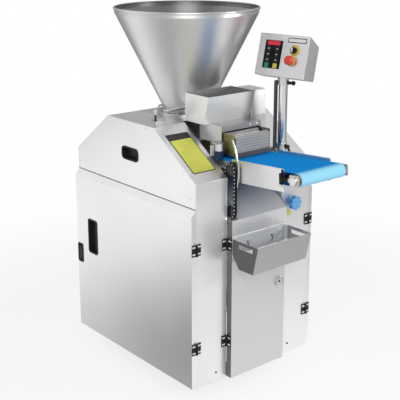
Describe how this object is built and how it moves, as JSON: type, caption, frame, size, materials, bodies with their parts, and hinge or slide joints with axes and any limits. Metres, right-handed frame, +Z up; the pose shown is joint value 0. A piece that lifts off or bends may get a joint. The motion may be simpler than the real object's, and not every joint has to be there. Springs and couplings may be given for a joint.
{
  "type": "dough divider",
  "caption": "Floor-standing volumetric dough divider with a conical hopper, hinged doors, a discharge belt, a flour duster and a control box on a post.",
  "frame": {"origin": "on the floor under the middle of the bounding box", "axes": "+X to the right when facing the belt end, -Y towards the belt and the operator, +Z up"},
  "size_m": [0.7, 1.2499, 1.65],
  "materials": {
    "stainless_sheet": "brushed stainless sheet",
    "spun_stainless": "brushed stainless sheet",
    "machined_steel": "machined stainless",
    "chromed_tube": "bright chrome",
    "plated_frame": "zinc grey",
    "bronze": "dull bronze",
    "motor_paint": "slate grey paint",
    "dark_steel": "oiled dark steel",
    "blue_belt": "blue polyurethane",
    "light_blue_plastic": "light blue moulding",
    "navy_plastic": "navy moulding",
    "red_plastic": "red moulding",
    "food_plastic": "natural acetal",
    "grey_wheel": "grey rubber",
    "black_plastic": "black moulding"
  },
  "bodies": {
    "cabinet": {"base_frame": "plated_frame", "front_columns": "stainless_sheet", "left_shoulder": "stainless_sheet", "right_shoulder": "stainless_sheet", "center_cover": "stainless_sheet", "rear_panel": "stainless_sheet", "mains_gland": "black_plastic", "chute": "stainless_sheet", "shoulder_grips": "black_plastic", "fixed_hinge_leaves": "black_plastic", "hopper_bracket": "machined_steel", "dough_chamber": "machined_steel", "drum_cheeks": "bronze", "gearmotor": "motor_paint", "duster_drive": "stainless_sheet", "conveyor_frame": "stainless_sheet", "tension_blocks": "black_plastic", "conveyor_belt": "blue_belt", "drive_chain": "dark_steel", "chain_guard": "stainless_sheet", "flour_housing": "stainless_sheet", "flour_hopper": "stainless_sheet", "panel_post": "chromed_tube", "conduits": "black_plastic", "castor_plates": "plated_frame"},
    "left_door_leaf": {"left_door": "stainless_sheet", "left_door_fittings": "black_plastic"},
    "left_latch_bar": {"left_latch": "black_plastic"},
    "right_door_leaf": {"right_door": "stainless_sheet", "right_door_fittings": "black_plastic"},
    "right_latch_bar": {"right_latch": "black_plastic"},
    "front_door_leaf": {"front_door": "stainless_sheet", "front_door_fittings": "black_plastic"},
    "front_lock_cam": {"front_lock": "machined_steel"},
    "bin": {"catch_bin": "stainless_sheet"},
    "funnel": {"hopper": "spun_stainless"},
    "guard": {"drum_guard": "stainless_sheet"},
    "drum": {"measuring_drum": "machined_steel"},
    "dose_pistons": {"measuring_pistons": "food_plastic"},
    "main_piston": {"suction_piston": "machined_steel"},
    "blade": {"knife": "machined_steel"},
    "crank": {"crank_disc": "dark_steel"},
    "rod": {"connecting_rod": "dark_steel"},
    "nose": {"nose_roller": "machined_steel"},
    "tail": {"tail_roller": "machined_steel"},
    "drive": {"drive_roller": "dark_steel"},
    "jackshaft": {"lower_sprocket": "dark_steel"},
    "foot_clamp": {"clamp_lever": "black_plastic"},
    "panel": {"control_box": "stainless_sheet", "keypad": "black_plastic"},
    "mode_switch": {"selector": "black_plastic"},
    "stop": {"stop_button": "red_plastic"},
    "box_clamp": {"ball_lever": "black_plastic"},
    "weight_wheel": {"weight_knob": "light_blue_plastic"},
    "dose_wheel": {"dose_knob": "navy_plastic"},
    "fork_left": {"front_left_fork": "plated_frame"},
    "fork_right": {"front_right_fork": "plated_frame"},
    "wheel_left": {"front_left_wheel": "grey_wheel"},
    "wheel_right": {"front_right_wheel": "grey_wheel"},
    "wheels_rear": {"rear_wheels": "grey_wheel"}
  },
  "joints": [
    {"name": "left_door_swing", "type": "hinge", "parent": "cabinet", "child": "left_door_leaf", "pos_m": [-0.325, -0.246, 0.5], "axis": [0, 0, 1], "range_deg": [0, 100]},
    {"name": "right_door_swing", "type": "hinge", "parent": "cabinet", "child": "right_door_leaf", "pos_m": [0.325, -0.246, 0.5], "axis": [0, 0, -1], "range_deg": [0, 100]},
    {"name": "left_latch_lift", "type": "hinge", "parent": "left_door_leaf", "child": "left_latch_bar", "pos_m": [-0.346, 0.598, 0.504], "axis": [0, 1, 0], "range_deg": [0, 60]},
    {"name": "right_latch_lift", "type": "hinge", "parent": "right_door_leaf", "child": "right_latch_bar", "pos_m": [0.346, 0.598, 0.504], "axis": [0, -1, 0], "range_deg": [0, 60]},
    {"name": "front_door_swing", "type": "hinge", "parent": "cabinet", "child": "front_door_leaf", "pos_m": [-0.162, -0.246, 0.46], "axis": [0, 0, -1], "range_deg": [0, 80]},
    {"name": "front_lock_turn", "type": "hinge", "parent": "front_door_leaf", "child": "front_lock_cam", "pos_m": [0.122, -0.27, 0.48], "axis": [0, -1, 0], "range_deg": [0, 90]},
    {"name": "bin_lift", "type": "slide", "parent": "front_door_leaf", "child": "bin", "axis": [0, 0, 1], "range_m": [0, 0.024]},
    {"name": "hopper_tilt", "type": "hinge", "parent": "cabinet", "child": "funnel", "pos_m": [-0.24, 0.115, 1.222], "axis": [0, -1, 0], "range_deg": [0, 65]},
    {"name": "guard_lift", "type": "hinge", "parent": "cabinet", "child": "guard", "pos_m": [0, -0.206, 1.15], "axis": [-1, 0, 0], "range_deg": [0, 100]},
    {"name": "drum_turn", "type": "hinge", "parent": "cabinet", "child": "drum", "pos_m": [0, -0.13, 1.11], "axis": [-1, 0, 0], "range_deg": [0, 90]},
    {"name": "dose_stroke", "type": "slide", "parent": "drum", "child": "dose_pistons", "axis": [0, 1, 0], "range_m": [0, 0.018]},
    {"name": "piston_stroke", "type": "slide", "parent": "cabinet", "child": "main_piston", "axis": [0, -1, 0], "range_m": [0, 0.12]},
    {"name": "knife_stroke", "type": "slide", "parent": "cabinet", "child": "blade", "axis": [0, -1, 0], "range_m": [0, 0.118]},
    {"name": "crank_turn", "type": "hinge", "parent": "cabinet", "child": "crank", "pos_m": [0.034, 0.525, 0.965], "axis": [1, 0, 0], "continuous": true},
    {"name": "rod_swing", "type": "hinge", "parent": "crank", "child": "rod", "pos_m": [0.016, 0.525, 1.025], "axis": [1, 0, 0], "continuous": true},
    {"name": "drive_roller_turn", "type": "hinge", "parent": "cabinet", "child": "drive", "pos_m": [0, -0.246, 1.02542], "axis": [1, 0, 0], "continuous": true},
    {"name": "nose_roller_turn", "type": "hinge", "parent": "cabinet", "child": "nose", "pos_m": [0, -0.5977, 1.05502], "axis": [1, 0, 0], "continuous": true},
    {"name": "tail_roller_turn", "type": "hinge", "parent": "cabinet", "child": "tail", "pos_m": [0, -0.104, 1.0205], "axis": [1, 0, 0], "continuous": true},
    {"name": "jackshaft_turn", "type": "hinge", "parent": "cabinet", "child": "jackshaft", "pos_m": [-0.145, -0.246, 0.853], "axis": [1, 0, 0], "continuous": true},
    {"name": "foot_clamp_turn", "type": "hinge", "parent": "cabinet", "child": "foot_clamp", "pos_m": [0.20499, -0.209, 1.06557], "axis": [0, -1, 0], "range_deg": [0, 75]},
    {"name": "panel_swivel", "type": "hinge", "parent": "cabinet", "child": "panel", "pos_m": [0.20499, -0.186, 1.35], "axis": [0, 0, 1], "range_deg": [-45, 45]},
    {"name": "mode_switch_turn", "type": "hinge", "parent": "panel", "child": "mode_switch", "pos_m": [0.20796, -0.24578, 1.48384], "axis": [0.9482, 0.1843, -0.2588], "range_deg": [-45, 45]},
    {"name": "stop_press", "type": "slide", "parent": "panel", "child": "stop", "axis": [0.9482, 0.1843, -0.2588], "range_m": [0, 0.005], "stiffness_N_per_m": 900},
    {"name": "box_clamp_turn", "type": "hinge", "parent": "panel", "child": "box_clamp", "pos_m": [0.20957, -0.20956, 1.343], "axis": [0.1908, -0.9816, 0], "range_deg": [0, 90]},
    {"name": "weight_wheel_turn", "type": "hinge", "parent": "cabinet", "child": "weight_wheel", "pos_m": [0.21201, -0.24, 0.822], "axis": [0, -1, 0], "continuous": true},
    {"name": "dose_wheel_turn", "type": "hinge", "parent": "cabinet", "child": "dose_wheel", "pos_m": [-0.134, -0.158, 1.09], "axis": [0, 0, 1], "continuous": true},
    {"name": "fork_left_swivel", "type": "hinge", "parent": "cabinet", "child": "fork_left", "pos_m": [-0.13, -0.11, 0.084], "axis": [0, 0, 1], "continuous": true},
    {"name": "fork_right_swivel", "type": "hinge", "parent": "cabinet", "child": "fork_right", "pos_m": [0.13, -0.11, 0.084], "axis": [0, 0, 1], "continuous": true},
    {"name": "wheel_left_roll", "type": "hinge", "parent": "fork_left", "child": "wheel_left", "pos_m": [-0.13, -0.09, 0.0375], "axis": [1, 0, 0], "continuous": true},
    {"name": "wheel_right_roll", "type": "hinge", "parent": "fork_right", "child": "wheel_right", "pos_m": [0.13, -0.09, 0.0375], "axis": [1, 0, 0], "continuous": true},
    {"name": "rear_wheels_roll", "type": "hinge", "parent": "cabinet", "child": "wheels_rear", "pos_m": [0, 0.515, 0.0375], "axis": [1, 0, 0], "continuous": true}
  ],
  "couplings": [
    {"joint": "nose_roller_turn", "follows": "drive_roller_turn", "ratio": 0.8},
    {"joint": "tail_roller_turn", "follows": "drive_roller_turn", "ratio": 0.8},
    {"joint": "jackshaft_turn", "follows": "drive_roller_turn", "ratio": 1},
    {"joint": "rod_swing", "follows": "crank_turn", "ratio": -1}
  ]
}
